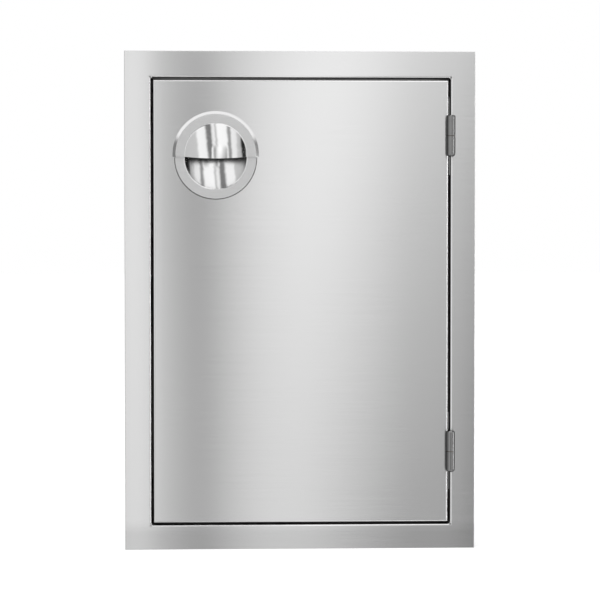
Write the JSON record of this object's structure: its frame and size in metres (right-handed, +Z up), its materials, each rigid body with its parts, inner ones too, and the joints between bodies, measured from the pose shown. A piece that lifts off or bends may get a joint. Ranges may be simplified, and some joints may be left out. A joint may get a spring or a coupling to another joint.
{
  "type": "outdoor kitchen island access door",
  "caption": "Stainless steel access door for an outdoor kitchen island: flanged frame, hinged double-skinned leaf, hooded recessed pull and magnetic catch.",
  "frame": {"origin": "centre of the opening, in the plane where the frame's lip seats on the island's wall", "axes": "+X to the hinge side, +Y into the island, +Z up"},
  "size_m": [0.362, 0.0633, 0.5144],
  "materials": {
    "brushed_stainless": "fine brushed grain along the width",
    "satin_and_mirror_stainless": "satin rim and face, mirror-polished bowl and dome",
    "mill_stainless": "plain mill finish",
    "hinge_stainless": "turned and lightly polished",
    "fastener_steel": "bright stainless",
    "bronze": "sintered, oiled",
    "catch_plastic": "black moulded",
    "magnet_ferrite": "ground ferrite",
    "zinc_steel": "zinc plated",
    "bumper_rubber": "soft matt"
  },
  "bodies": {
    "frame": {"face_flange": "brushed_stainless", "jamb_hinge_side": "brushed_stainless", "jamb_top": "brushed_stainless", "jamb_latch_side": "brushed_stainless", "jamb_bottom": "brushed_stainless", "upper_hinge_frame_leaf": "hinge_stainless", "lower_hinge_frame_leaf": "hinge_stainless", "upper_hinge_pin": "hinge_stainless", "lower_hinge_pin": "hinge_stainless", "upper_hinge_washer": "bronze", "lower_hinge_washer": "bronze", "upper_stop_tab": "mill_stainless", "lower_stop_tab": "mill_stainless", "upper_stop_bumper": "bumper_rubber", "lower_stop_bumper": "bumper_rubber", "hinge_frame_screws": "fastener_steel", "hinge_frame_nuts": "fastener_steel", "catch_housing": "catch_plastic", "catch_magnet": "magnet_ferrite", "catch_pole_plates": "zinc_steel", "catch_screws": "fastener_steel", "catch_nuts": "fastener_steel"},
    "door": {"door_front_panel": "brushed_stainless", "door_back_panel": "mill_stainless", "door_stiffener": "mill_stainless", "back_panel_screws": "fastener_steel", "upper_hinge_door_leaf": "hinge_stainless", "lower_hinge_door_leaf": "hinge_stainless", "upper_hinge_nut_plate": "zinc_steel", "lower_hinge_nut_plate": "zinc_steel", "hinge_door_screws": "fastener_steel", "pull_cup": "satin_and_mirror_stainless", "pull_hood": "satin_and_mirror_stainless", "cup_studs": "fastener_steel", "hood_studs": "fastener_steel", "pull_washers": "fastener_steel", "pull_nuts": "fastener_steel", "strike_plate": "zinc_steel", "strike_screws": "fastener_steel"}
  },
  "joints": [
    {"name": "door_swing", "type": "hinge", "parent": "frame", "child": "door", "pos_m": [0.1544, -0.01, 0], "axis": [0, 0, 1], "range_deg": [0, 175]}
  ]
}
